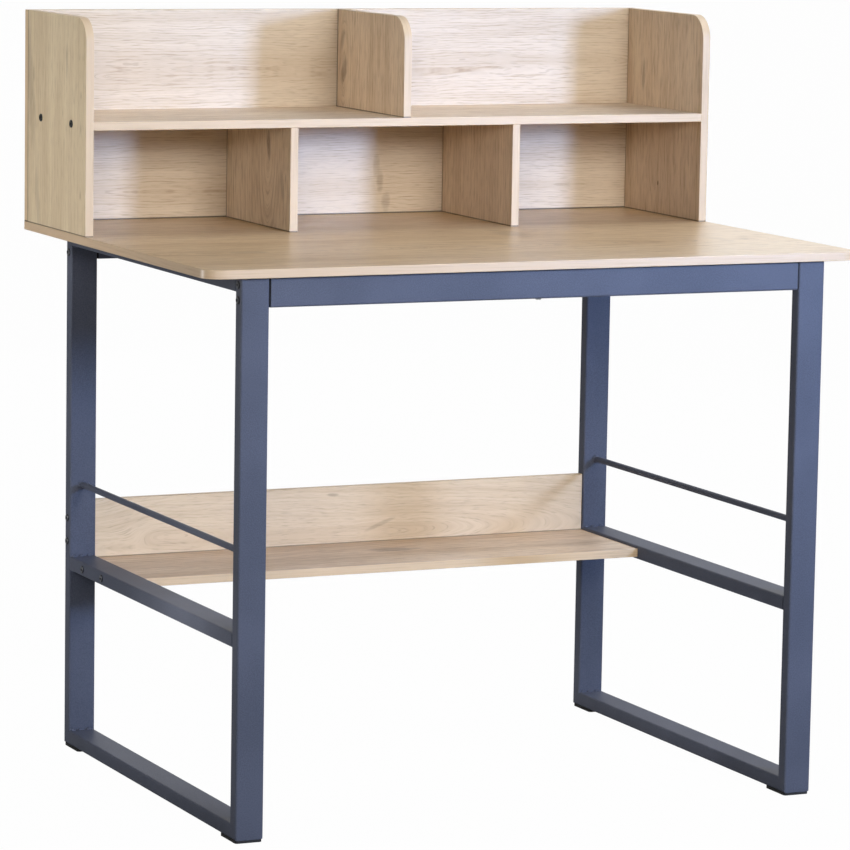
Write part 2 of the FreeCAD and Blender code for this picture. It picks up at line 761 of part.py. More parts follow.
def hutch_shelf_fasteners():
    """The bolts through the hutch sides into the hutch shelf."""
    spots = [(f"{sign} * top_width / 2", f"hutch_front + {y}", "hutch_shelf_bottom + hutch_thickness / 2",
              inward(sign)) for sign in SIDES.values() for y in hutch_bolt_places()]
    copies("hutch_shelf_bolts", bolt_master("hutch_bolt", "hutch_bolt_length"), spots)


def barrel_fasteners():
    """The barrel nuts of both shelves and of the low back panel."""
    blank = cylinder("barrel_blank", "barrel_diameter", "barrel_length", "-barrel_length / 2")
    bore = cylinder("barrel_bore_tool", "thread_bore", "2 * barrel_diameter")
    bore.Placement.Rotation = FreeCAD.Rotation(Y_AXIS, 90)
    place(bore, "-barrel_diameter")
    master = cut("barrel_master", blank, bore)
    spots = []
    for sign in SIDES.values():
        lower_x = f"{sign} * (inner_span / 2 - barrel_setback)"
        hutch_x = f"{sign} * (hutch_shelf_length / 2 - barrel_setback)"
        spots += [(lower_x, y, "shelf_rail_level", UP) for y in lower_shelf_bolt_places()]
        spots += [(hutch_x, f"hutch_front + {y}", "hutch_shelf_bottom + hutch_thickness / 2", UP)
                  for y in hutch_bolt_places()]
        spots += [(lower_x, "rear_leg_middle", f"lower_panel_middle_level {half} lower_panel_bolt_spacing / 2",
                   FORWARD) for half in "-+"]
    copies("barrel_nuts", master, spots)


def screw_fasteners():
    """The tabletop screws, long ones through the aprons and short ones through the rails, and hutch screws."""
    long_screw = screw_master("apron_screw", "apron_tall + top_screw_bite")
    short_screw = screw_master("rail_screw", "tube_narrow + top_screw_bite")
    spots = [(x, y, z, UP) for x, y, z in top_screw_places()]
    copies("tabletop_apron_screws", long_screw, spots[:len(ENDS)])
    copies("tabletop_rail_screws", short_screw, spots[len(ENDS):])
    hutch_screw = screw_master("hutch_screw", "hutch_screw_length")
    spots = [(f"{x} - top_width / 2", f"{y} - top_depth / 2", "underside_level + head_recess", UP)
             for x, y in base_screw_spots()]
    spots += [(f"{x} - top_width / 2", "top_depth / 2 - head_recess", f"top_level + {z}", FORWARD)
              for x, z in back_screw_spots()]
    copies("hutch_screws", hutch_screw, spots)


def dowels():
    """The dowels between the hutch shelf and its dividers."""
    master = cylinder("dowel_master", "dowel_diameter", "dowel_length")
    lower = "hutch_shelf_bottom + dowel_in_shelf - dowel_length"
    spots = [(f"{sign} * divider_offset", "hutch_front + dowel_inset", lower, UP) for sign in SIDES.values()]
    spots += [("0", f"hutch_front + {y}", "hutch_shelf_top - dowel_in_shelf", UP) for y in upper_dowel_places()]
    copies("divider_dowels", master, spots)


# Checks and export

def check_and_export():
    """Stop on any failed object or bad shape, then write every sub-part."""
    doc.recompute()
    for item in doc.Objects:
        if "Invalid" in item.State or "Error" in item.State:
            raise RuntimeError(f"{item.Name} failed: {item.State}")
    for item in subparts:
        if item.Shape.isNull() or not item.Shape.isValid():
            raise RuntimeError(f"{item.Label} has no valid shape")
    os.makedirs("parts", exist_ok=True)
    for item in subparts:
        item.Shape.exportStep(f"parts/{item.Label}.step")
    print(f"{len(subparts)} sub-parts written")


def main():
    """Build the desk from the floor up."""
    make_sheet()
    for side, sign in SIDES.items():
        for end in ENDS:
            leg(side, end)
            foot_pad(side, sign, end)
        foot_rail(side)
        top_rail(side)
        shelf_rail(side)
        guard_rod(side, sign)
    for end in ENDS:
        apron(end)
    lower_shelf()
    lower_panel()
    tabletop()
    for side, sign in SIDES.items():
        hutch_side(side)
        lower_divider(side, sign)
    upper_divider()
    hutch_shelf()
    hutch_back()
    apron_fasteners()
    lower_fasteners()
    hutch_shelf_fasteners()
    barrel_fasteners()
    screw_fasteners()
    dowels()
    check_and_export()


main()
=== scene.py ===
"""Looks of a student desk with a hutch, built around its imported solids.

Every board, tube and fastener gets a procedural finish, the welded frames get their weld marks, the screws get
cross recesses, and a white studio stands round it.
"""
from __future__ import annotations

import logging
import math
from dataclasses import dataclass
from enum import Enum
from typing import Any, Mapping, Optional, Sequence, Union

import bpy
from mathutils import Matrix, Vector

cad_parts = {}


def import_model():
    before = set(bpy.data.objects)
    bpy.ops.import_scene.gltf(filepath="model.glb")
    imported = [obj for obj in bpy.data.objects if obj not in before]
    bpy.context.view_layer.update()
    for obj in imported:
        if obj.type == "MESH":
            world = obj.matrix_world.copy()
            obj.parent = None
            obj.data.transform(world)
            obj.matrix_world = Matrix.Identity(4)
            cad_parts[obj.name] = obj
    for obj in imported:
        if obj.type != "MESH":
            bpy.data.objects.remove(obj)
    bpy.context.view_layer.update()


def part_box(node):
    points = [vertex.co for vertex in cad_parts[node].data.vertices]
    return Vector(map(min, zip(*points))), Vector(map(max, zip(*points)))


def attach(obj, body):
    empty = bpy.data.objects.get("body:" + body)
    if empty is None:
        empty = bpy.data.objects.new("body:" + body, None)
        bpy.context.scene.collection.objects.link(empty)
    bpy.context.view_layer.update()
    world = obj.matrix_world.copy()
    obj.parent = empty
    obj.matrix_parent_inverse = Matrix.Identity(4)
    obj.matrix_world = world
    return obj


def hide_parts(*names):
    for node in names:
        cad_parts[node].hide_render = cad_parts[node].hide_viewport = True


log = logging.getLogger("desk")

BODY = "root"
IMAGE_WIDTH_PX = 850
SENSOR_MM = 36.0
WHITE = (1.0, 1.0, 1.0, 1.0)
ROUNDING_LEVELS = 1
LEVEL_TOLERANCE = 1e-6
UPRIGHT_NORMAL = 0.9

Colour = tuple[float, float, float]
Point = tuple[float, float, float]
# The values between which a soft step rises from 0 to 1.
Step = tuple[float, float]


class Side(Enum):
    """A side of the desk, as its sitter sees it."""

    LEFT = "left"
    RIGHT = "right"


class End(Enum):
    """The front or the rear of the desk."""

    FRONT = "front"
    REAR = "rear"


class Grain(Enum):
    """How a board lies: the axes along its grain, across its grain and through its thickness."""

    FLAT = "xyz"
    UPRIGHT_LONG = "xzy"
    UPRIGHT_TALL = "zyx"


def linear(colour: Colour) -> tuple[float, float, float, float]:
    """Turn a colour in screen values from 0 to 255 into a linear one.

    Args:
        colour: Red, green and blue as seen on a screen.

    Returns:
        Linear red, green, blue and an alpha of 1.
    """
    parts = [value / 255.0 for value in colour]
    bent = [part / 12.92 if part <= 0.04045 else ((part + 0.055) / 1.055) ** 2.4 for part in parts]
    return bent[0], bent[1], bent[2], 1.0


class Sock:
    """A node's output that takes part in Python maths."""

    def __init__(self, graph: "Graph", socket: bpy.types.NodeSocket) -> None:
        """Keep an output and the graph that its maths goes into.

        Args:
            graph: The graph that owns the output.
            socket: The output.
        """
        self.graph = graph
        self.socket = socket

    def __add__(self, other: "Value") -> "Sock":
        """The sum of two values."""
        return self.graph.math("ADD", self, other)

    def __radd__(self, other: "Value") -> "Sock":
        """The sum of two values."""
        return self.graph.math("ADD", other, self)

    def __sub__(self, other: "Value") -> "Sock":
        """The difference of two values."""
        return self.graph.math("SUBTRACT", self, other)

    def __rsub__(self, other: "Value") -> "Sock":
        """The difference of two values."""
        return self.graph.math("SUBTRACT", other, self)

    def __mul__(self, other: "Value") -> "Sock":
        """The product of two values."""
        return self.graph.math("MULTIPLY", self, other)

    def __rmul__(self, other: "Value") -> "Sock":
        """The product of two values."""
        return self.graph.math("MULTIPLY", other, self)

    def __truediv__(self, other: "Value") -> "Sock":
        """The quotient of two values."""
        return self.graph.math("DIVIDE", self, other)

    def __rtruediv__(self, other: "Value") -> "Sock":
        """The quotient of two values."""
        return self.graph.math("DIVIDE", other, self)

    def __pow__(self, other: "Value") -> "Sock":
        """A value raised to a power."""
        return self.graph.math("POWER", self, other)

    def __abs__(self) -> "Sock":
        """The size of a value."""
        return self.graph.math("ABSOLUTE", self, 0.0)


Value = Union[Sock, float, Sequence[float]]


class Graph:
    """The shader nodes of one material or world."""

    def __init__(self, tree: bpy.types.NodeTree) -> None:
        """Start from an emptied node tree.

        Args:
            tree: The node tree to fill.
        """
        self.tree = tree
        tree.nodes.clear()

    def node(self, kind: str, settings: Optional[Mapping[str, Any]] = None,
             sockets: Optional[Mapping[Union[int, str], Value]] = None, output: Union[int, str] = 0) -> Sock:
        """Add any node.

        Args:
            kind: The node's type name.
            settings: Its properties, set first.
            sockets: Values or links of its inputs, by number or name.
            output: The output to hand back.

        Returns:
            The chosen output.
        """
        made = self.tree.nodes.new(kind)
        for name, value in (settings or {}).items():
            setattr(made, name, value)
        for key, value in (sockets or {}).items():
            if isinstance(value, Sock):
                self.tree.links.new(value.socket, made.inputs[key])
            else:
                made.inputs[key].default_value = value
        return Sock(self, made.outputs[output])

    def math(self, operation: str, first: Value, second: Value) -> Sock:
        """Add a Math node.

        Args:
            operation: The node's operation.
            first: Its first value.
            second: Its second value.

        Returns:
            The result.
        """
        return self.node("ShaderNodeMath", {"operation": operation}, {0: first, 1: second})

    def split(self, vector: Sock) -> tuple[Sock, Sock, Sock]:
        """Split a vector.

        Args:
            vector: The vector.

        Returns:
            Its x, y and z.
        """
        made = self.node("ShaderNodeSeparateXYZ", None, {0: vector})
        outputs = made.socket.node.outputs
        return Sock(self, outputs[0]), Sock(self, outputs[1]), Sock(self, outputs[2])

    def vector(self, x: Value, y: Value, z: Value) -> Sock:
        """Join three values into a vector.

        Args:
            x: First value.
            y: Second value.
            z: Third value.

        Returns:
            The vector.
        """
        return self.node("ShaderNodeCombineXYZ", None, {0: x, 1: y, 2: z})

    def noise(self, vector: Sock, scale: float = 1.0, detail: float = 2.0, roughness: float = 0.5) -> Sock:
        """Add a soft noise from 0 to 1.

        Args:
            vector: Where it is read.
            scale: Its scale.
            detail: How many finer layers it has.
            roughness: How strong the finer layers are.

        Returns:
            The noise.
        """
        return self.node("ShaderNodeTexNoise", None,
                         {"Vector": vector, "Scale": scale, "Detail": detail, "Roughness": roughness})

    def smooth(self, value: Sock, low: float, high: float) -> Sock:
        """Ease a value from 0 at low to 1 at high.

        Args:
            value: The value.
            low: Where the step starts.
            high: Where the step ends.

        Returns:
            The eased value.
        """
        return self.node("ShaderNodeMapRange", {"interpolation_type": "SMOOTHSTEP"},
                         {"Value": value, "From Min": low, "From Max": high, "To Min": 0.0, "To Max": 1.0})

    def blend(self, factor: Value, first: Value, second: Value) -> Sock:
        """Blend two colours.

        Args:
            factor: 0 for the first colour, 1 for the second.
            first: A colour.
            second: A colour.

        Returns:
            The blend.
        """
        return self.node("ShaderNodeMix", {"data_type": "RGBA", "clamp_factor": True},
                         {0: factor, 6: first, 7: second}, 2)

    def pick(self, factor: Sock, first: Value, second: Value) -> Sock:
        """Blend two numbers.

        Args:
            factor: 0 for the first number, 1 for the second.
            first: A number.
            second: A number.

        Returns:
            The blend.
        """
        return self.node("ShaderNodeMix", {"data_type": "FLOAT", "clamp_factor": True},
                         {0: factor, 2: first, 3: second}, 0)

    def bump(self, height: Sock, strength: float, distance: float) -> Sock:
        """Turn a height into a bumpy normal.

        Args:
            height: The height from 0 to 1.
            strength: How much of it shows.
            distance: What a height of 1 measures, in metres.

        Returns:
            The normal.
        """
        return self.node("ShaderNodeBump", None, {"Height": height, "Strength": strength, "Distance": distance})

    def close(self, shader: Sock, kind: str = "ShaderNodeOutputMaterial") -> None:
        """Link the finished shader to an output node.

        Args:
            shader: The shader.
            kind: The output node's type name.
        """
        ending = self.tree.nodes.new(kind)
        self.tree.links.new(shader.socket, ending.inputs["Surface"])


@dataclass(frozen=True)
class Finish:
    """What all finishes share: a name, a roughness, a specular level, and how far gloss and relief vary."""

    name: str
    roughness: float = 0.45
    specular: float = 0.5
    gloss_change: float = 0.2
    bump_strength: float = 0.3

    def paint(self, graph: Graph) -> dict[str, Value]:
        """Give what the finish varies over the surface.

        Args:
            graph: The material's nodes.

        Returns:
            Inputs of the surface shader, by name.
        """
        raise NotImplementedError

    def material(self) -> bpy.types.Material:
        """Make the material.

        Returns:
            A new material with this finish.
        """
        made = bpy.data.materials.new(self.name)
        made.use_nodes = True
        graph = Graph(made.node_tree)
        inputs: dict[str, Value] = {"Roughness": self.roughness, "Specular IOR Level": self.specular}
        inputs.update(self.paint(graph))
        graph.close(graph.node("ShaderNodeBsdfPrincipled", None, inputs))
        return made


@dataclass(frozen=True)
class Figure:
    """The heart that a board's growth rings bend round, along and across its grain, in metres.

    The rings close by a slope before the heart and by another one after it.
    """

    along: float
    across: float
    before: float = 0.06
    after: float = 0.06


@dataclass(frozen=True)
class Mark:
    """A dark knot or streak in a board: place along and across the grain, half length and width, strength, lean."""

    along: float
    across: float
    length: float
    width: float
    strength: float
    lean: float = 0.0


@dataclass(frozen=True)
class ContactShade:
    """Painted contact shade where a board meets the next one: axis, place, reach, strength and darkest share."""

    axis: str
    place: float
    reach: float = 0.0022
    strength: float = 0.75
    core: float = 0.4


@dataclass(frozen=True)
class Layer:
    """One noise of a board's grain: its shift from the board's seed, rates along and across, detail, roughness."""

    shift: float
    along: float
    across: float = 1.0
    detail: float = 2.0
    roughness: float = 0.5

    def read(self, graph: Graph, seed: float, along: Sock, across: Sock) -> Sock:
        """Read the noise on a board.

        Args:
            graph: The material's nodes.
            seed: The board's own seed.
            along: Place along the grain.
            across: Place across the grain, in metres or in widths of what the noise draws.

        Returns:
            The noise from 0 to 1.
        """
        place = graph.vector(along * self.along, across * self.across, seed + self.shift)
        return graph.noise(place, detail=self.detail, roughness=self.roughness)


@dataclass(frozen=True)
class OakBoard(Finish):
    """Light oak laminate with embossed grain and painted contact shade at its joints, for one board."""

    grain: Grain = Grain.FLAT
    seed: float = 0.0
    figures: tuple[Figure, ...] = (Figure(0.0, 0.0),)
    marks: tuple[Mark, ...] = ()
    # Lines of painted contact shade where the board meets the next boards.
    contact_shades: tuple[ContactShade, ...] = ()
    pale: Colour = (218, 195, 165)
    honey: Colour = (198, 171, 138)
    edge: Colour = (206, 180, 145)
    line: Colour = (156, 125, 93)
    pore: Colour = (124, 95, 68)
    knot: Colour = (96, 70, 49)
    # Colour of the painted contact shade.
    contact_shade_colour: Colour = (44, 33, 25)
    line_spacing: float = 0.0042
    line_depth: float = 0.50
    pore_depth: float = 0.30
    streak_width: float = 0.030
    streak_depth: float = 0.80
    fleck_width: float = 0.0035
    fleck_depth: float = 0.34
    emboss: float = 0.0002
    gloss_change: float = 0.10
    bump_strength: float = 0.55
    drift: Layer = Layer(0.0, 1.8, 7.0)
    ripple: Layer = Layer(3.0, 26.0, 55.0, detail=1.0)
    wobble: Layer = Layer(5.0, 7.0, 24.0, detail=1.0)
    breaks: Layer = Layer(7.0, 14.0)
    dashes: Layer = Layer(9.0, 48.0, 1000.0, detail=1.0)
    streaks: Layer = Layer(11.0, 2.2, detail=6.0, roughness=0.64)
    wander: Layer = Layer(17.0, 30.0, 60.0)
    flecks: Layer = Layer(21.0, 36.0, detail=3.0)
    band_rates: Point = (12.0, 12.0, 520.0)
    drift_reach: float = 0.020
    ripple_reach: float = 0.0035
    wobble_reach: float = 1.4
    wander_reach: float = 1.6
    heart_blend: float = 0.012
    dash_share: float = 0.65
    band_depth: float = 0.6
    line_relief: float = 0.6
    stain_base: float = 0.4
    stain_dashes: float = 1.2
    face_step: Step = (0.5, 0.8)
    tone_step: Step = (0.34, 0.68)
    line_step: Step = (0.06, 0.32)
    break_step: Step = (0.38, 0.60)
    dash_step: Step = (0.36, 0.62)
    band_step: Step = (0.48, 0.74)
    pore_step: Step = (0.56, 0.72)
    fleck_step: Step = (0.46, 0.70)
    stain_step: Step = (0.05, 1.0)

    def paint(self, graph: Graph) -> dict[str, Value]:
        """Give the grain's colour, gloss and relief, with painted contact shade along the joints.

        Args:
            graph: The material's nodes.

        Returns:
            Inputs of the surface shader, by name.
        """
        axes = dict(zip("xyz", graph.split(graph.node("ShaderNodeTexCoord", output="Object"))))
        facing = dict(zip("xyz", graph.split(graph.node("ShaderNodeTexCoord", output="Normal"))))
        along, across, through = (axes[name] for name in self.grain.value)
        face = graph.smooth(abs(facing[self.grain.value[2]]), *self.face_step)
        radius = self.rings(graph, along, across)
        ring = radius / self.line_spacing

        streaks = self.streaks.read(graph, self.seed, along, radius / self.streak_width)
        tone = graph.smooth(streaks, *self.tone_step)
        dashes = self.dashes.read(graph, self.seed, along, radius)
        wobble = self.wobble.read(graph, self.seed, along, across)
        phase = graph.math("FRACT", ring + wobble * self.wobble_reach, 0.0)
        breaks = self.breaks.read(graph, self.seed, along, ring)
        drawn = (1.0 - graph.smooth(abs(phase - 0.5), *self.line_step)) * graph.smooth(breaks, *self.break_step)
        drawn = drawn * ((1.0 - self.dash_share) + graph.smooth(dashes, *self.dash_step) * self.dash_share)
        banded = graph.noise(graph.vector(*(place * rate for place, rate in
                                            zip((along, across, through), self.band_rates))))
        lines = graph.pick(face, graph.smooth(banded, *self.band_step) * self.band_depth, drawn)
        pores = graph.smooth(dashes, *self.pore_step) * face
        flecks = self.flecks.read(graph, self.seed, along, radius / self.fleck_width)

        colour = graph.blend(tone * self.streak_depth, linear(self.pale), linear(self.honey))
        colour = graph.blend(graph.smooth(flecks, *self.fleck_step) * self.fleck_depth, colour, linear(self.line))
        colour = graph.blend(face, linear(self.edge), colour)
        colour = graph.blend(lines * self.line_depth, colour, linear(self.line))
        colour = graph.blend(pores * self.pore_depth, colour, linear(self.pore))
        for mark in self.marks:
            colour = graph.blend(self.stain(graph, mark, along, across, dashes), colour, linear(self.knot))
        # Painted shade: darken the colour near each joint with the next board, where shade falls.
        for shade_line in self.contact_shades:
            in_shade = 1.0 - graph.smooth(abs(axes[shade_line.axis] - shade_line.place), shade_line.reach * shade_line.core, shade_line.reach)
            colour = graph.blend(in_shade * shade_line.strength, colour, linear(self.contact_shade_colour))
        relief = 1.0 - lines * self.line_relief - pores * (1.0 - self.line_relief)
        return {
            "Base Color": colour,
            "Roughness": self.roughness + lines * self.gloss_change + (streaks - 0.5) * self.gloss_change,
            "Normal": graph.bump(relief, self.bump_strength, self.emboss),
        }

    def rings(self, graph: Graph, along: Sock, across: Sock) -> Sock:
        """Give the distance from the nearest heart, which every line of the grain follows.

        Args:
            graph: The material's nodes.
            along: Place along the grain.
            across: Place across the grain.

        Returns:
            The distance, in metres across the grain.
        """
        drift = self.drift.read(graph, self.seed, along, across) - 0.5
        ripple = self.ripple.read(graph, self.seed, along, across) - 0.5
        wavy = across + drift * self.drift_reach + ripple * self.ripple_reach
        nearest: Optional[Sock] = None
        for figure in self.figures:
            from_heart = along - figure.along
            past_heart = graph.math("GREATER_THAN", from_heart, 0.0)
            slope = past_heart * (figure.after - figure.before) + figure.before
            reach = graph.math("SQRT", (from_heart * slope) ** 2.0 + (wavy - figure.across) ** 2.0, 0.0)
            if nearest is not None:
                reach = graph.node("ShaderNodeMath", {"operation": "SMOOTH_MIN"},
                                   {0: nearest, 1: reach, 2: self.heart_blend})
            nearest = reach
        return nearest

    def stain(self, graph: Graph, mark: Mark, along: Sock, across: Sock, dashes: Sock) -> Sock:
        """Give how strongly a knot or streak shows.

        Args:
            graph: The material's nodes.
            mark: The knot or streak.
            along: Place along the grain.
            across: Place across the grain.
            dashes: The finest grain, which breaks it up.

        Returns:
            A factor from 0 to the mark's strength.
        """
        wander = self.wander.read(graph, self.seed, along, across) - 0.5
        lean = (along - mark.along) * mark.lean
        reach = ((along - mark.along) / mark.length) ** 2.0
        aside = across - mark.across - lean + wander * mark.width * self.wander_reach
        reach = reach + (aside / mark.width) ** 2.0
        shown = 1.0 - graph.smooth(reach, *self.stain_step)
        return shown * (self.stain_base + dashes * self.stain_dashes) * mark.strength


@dataclass(frozen=True)
class PowderCoat(Finish):
    """Baked powder paint on steel, with a fine texture."""

    colour: Colour = (88, 92, 106)
    deep: Colour = (71, 75, 87)
    gloss_change: float = 0.18
    bump_strength: float = 0.35
    cloud: float = 9.0
    mottle: float = 700.0
    grit: float = 1100.0
    relief: float = 0.00012
    cloud_share: float = 0.35
    step: Step = (0.3, 0.7)

    def paint(self, graph: Graph) -> dict[str, Value]:
        """Give the paint's cloudy colour and its grit.

        Args:
            graph: The material's nodes.

        Returns:
            Inputs of the surface shader, by name.
        """
        place = graph.node("ShaderNodeTexCoord", output="Object")
        clouds = graph.smooth(graph.noise(place, scale=self.cloud, detail=3.0), *self.step)
        mottle = graph.smooth(graph.noise(place, scale=self.mottle), *self.step)
        grit = graph.noise(place, scale=self.grit, roughness=0.6)
        tone = clouds * self.cloud_share + mottle * (1.0 - self.cloud_share)
        return {
            "Base Color": graph.blend(tone, linear(self.colour), linear(self.deep)),
            "Roughness": self.roughness + (grit - 0.5) * self.gloss_change,
            "Normal": graph.bump(grit, self.bump_strength, self.relief),
        }


@dataclass(frozen=True)
class SpeckledFinish(Finish):
    """A plain finish with faint specks and scuffs, for plastic and metal alike."""

    colour: Colour = (20, 20, 21)
    speck: Colour = (34, 34, 36)
    metal: float = 0.0
    scale: float = 600.0
    scuff_size: float = 9.0
    relief: float = 0.00005
    speck_share: float = 0.6
    step: Step = (0.4, 0.7)

    def paint(self, graph: Graph) -> dict[str, Value]:
        """Give the specks' colour, gloss and relief.

        Args:
            graph: The material's nodes.

        Returns:
            Inputs of the surface shader, by name.
        """
        place = graph.node("ShaderNodeTexCoord", output="Object")
        specks = graph.noise(place, scale=self.scale, detail=3.0, roughness=0.65)
        scuffs = graph.noise(place, scale=self.scale / self.scuff_size)
        tone = graph.smooth(specks * self.speck_share + scuffs * (1.0 - self.speck_share), *self.step)
        return {
            "Base Color": graph.blend(tone, linear(self.colour), linear(self.speck)),
            "Metallic": self.metal,
            "Roughness": self.roughness + (scuffs - 0.5) * self.gloss_change,
            "Normal": graph.bump(specks, self.bump_strength, self.relief),
        }


@dataclass(frozen=True)
class SheenPaintedBolt(Finish):
    """Black oxide on bolts that lie along x, with a painted grey reflection on the crowns of their heads."""

    crown: float = 0.4348
    colour: Colour = (12, 12, 14)
    crown_sheen: Colour = (88, 90, 96)
    metal: float = 0.2
    scale: float = 600.0
    relief: float = 0.00005
    sheen_depths: Step = (0.0010, 0.0002)
    facing_step: Step = (0.6, 0.95)
    sheen_base: float = 0.65
    sheen_specks: float = 0.6

    def paint(self, graph: Graph) -> dict[str, Value]:
        """Give the black rims and sockets and the painted grey reflection on the crowns.

        Args:
            graph: The material's nodes.

        Returns:
            Inputs of the surface shader, by name.
        """
        place = graph.node("ShaderNodeTexCoord", output="Object")
        x, _, _ = graph.split(place)
        facing, _, _ = graph.split(graph.node("ShaderNodeTexCoord", output="Normal"))
        specks = graph.noise(place, scale=self.scale, detail=3.0, roughness=0.65)
        # Painted reflection: the crowns facing out along x are painted grey where a glossy head would reflect the
        # light.
        outermost = graph.smooth(abs(x), *(self.crown - depth for depth in self.sheen_depths))
        on_crown = outermost * graph.smooth(abs(facing), *self.facing_step)
        painted_sheen = on_crown * (self.sheen_base + specks * self.sheen_specks)
        return {
            "Base Color": graph.blend(painted_sheen, linear(self.colour), linear(self.crown_sheen)),
            "Metallic": self.metal,
            "Roughness": self.roughness + (specks - 0.5) * self.gloss_change,
            "Normal": graph.bump(specks, self.bump_strength, self.relief),
        }


@dataclass(frozen=True)
class DowelWood(Finish):
    """Plain beech with short upright flecks."""

    colour: Colour = (203, 170, 127)
    fleck: Colour = (160, 120, 80)
    rates: Point = (1500.0, 1500.0, 120.0)
    relief: float = 0.0001
    step: Step = (0.5, 0.75)

    def paint(self, graph: Graph) -> dict[str, Value]:
        """Give the flecked colour.

        Args:
            graph: The material's nodes.

        Returns:
            Inputs of the surface shader, by name.
        """
        places = graph.split(graph.node("ShaderNodeTexCoord", output="Object"))
        flecks = graph.noise(graph.vector(*(place * rate for place, rate in zip(places, self.rates))))
        return {
            "Base Color": graph.blend(graph.smooth(flecks, *self.step), linear(self.colour), linear(self.fleck)),
            "Normal": graph.bump(flecks, self.bump_strength, self.relief),
        }


def dress(node: str, material: bpy.types.Material) -> None:
    """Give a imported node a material.

    Args:
        node: The node's name.
        material: Its new material.
    """
    piece = bpy.data.objects[node]
    if not piece.material_slots:
        piece.data.materials.append(material)
    for slot in piece.material_slots:
        slot.material = material
    log.info("%s wears %s", node, material.name)


def start_piece() -> None:
    """Deselect everything, so that the next operators act on the new piece alone."""
    if bpy.context.mode != "OBJECT":
        bpy.ops.object.mode_set(mode="OBJECT")
    bpy.ops.object.select_all(action="DESELECT")


def edit_vertices(piece: bpy.types.Object, chosen: Sequence[int]) -> None:
    """Enter edit mode with only some vertices selected.

    Args:
        piece: The piece to edit.
        chosen: Numbers of the vertices to select.
    """
    bpy.ops.object.mode_set(mode="EDIT")
    bpy.ops.mesh.select_mode(type="VERT")
    bpy.ops.mesh.select_all(action="DESELECT")
    bpy.ops.object.mode_set(mode="OBJECT")
    for number in chosen:
        piece.data.vertices[number].select = True
    bpy.ops.object.mode_set(mode="EDIT")


def settle(piece: bpy.types.Object) -> None:
    """Smooth a piece and put its place into its mesh.

    Args:
        piece: The active piece.
    """
    bpy.ops.object.mode_set(mode="OBJECT")
    bpy.ops.object.transform_apply(location=True, rotation=True, scale=True)
    rounder = piece.modifiers.new("rounder", "SUBSURF")
    rounder.levels = ROUNDING_LEVELS
    rounder.render_levels = ROUNDING_LEVELS
    bpy.ops.object.modifier_apply(modifier=rounder.name)
    bpy.ops.object.shade_smooth()


def join_pieces(pieces: Sequence[bpy.types.Object], name: str) -> bpy.types.Object:
    """Join pieces into one object.

    Args:
        pieces: The pieces to join.
        name: Name of the result.

    Returns:
        The joined piece.
    """
    start_piece()
    for piece in pieces:
        piece.select_set(True)
    bpy.context.view_layer.objects.active = pieces[0]
    bpy.ops.object.join()
    joined = bpy.context.view_layer.objects.active
    joined.name = name
    joined.data.name = name
    return joined


def finish_piece(piece: bpy.types.Object, material: bpy.types.Material) -> None:
    """Give a new piece its material and tie it to the desk.

    Args:
        piece: The new piece.
        material: Its material.
    """
    piece.data.materials.clear()
    piece.data.materials.append(material)
    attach(piece, BODY)
    log.info("%s modelled", piece.name)


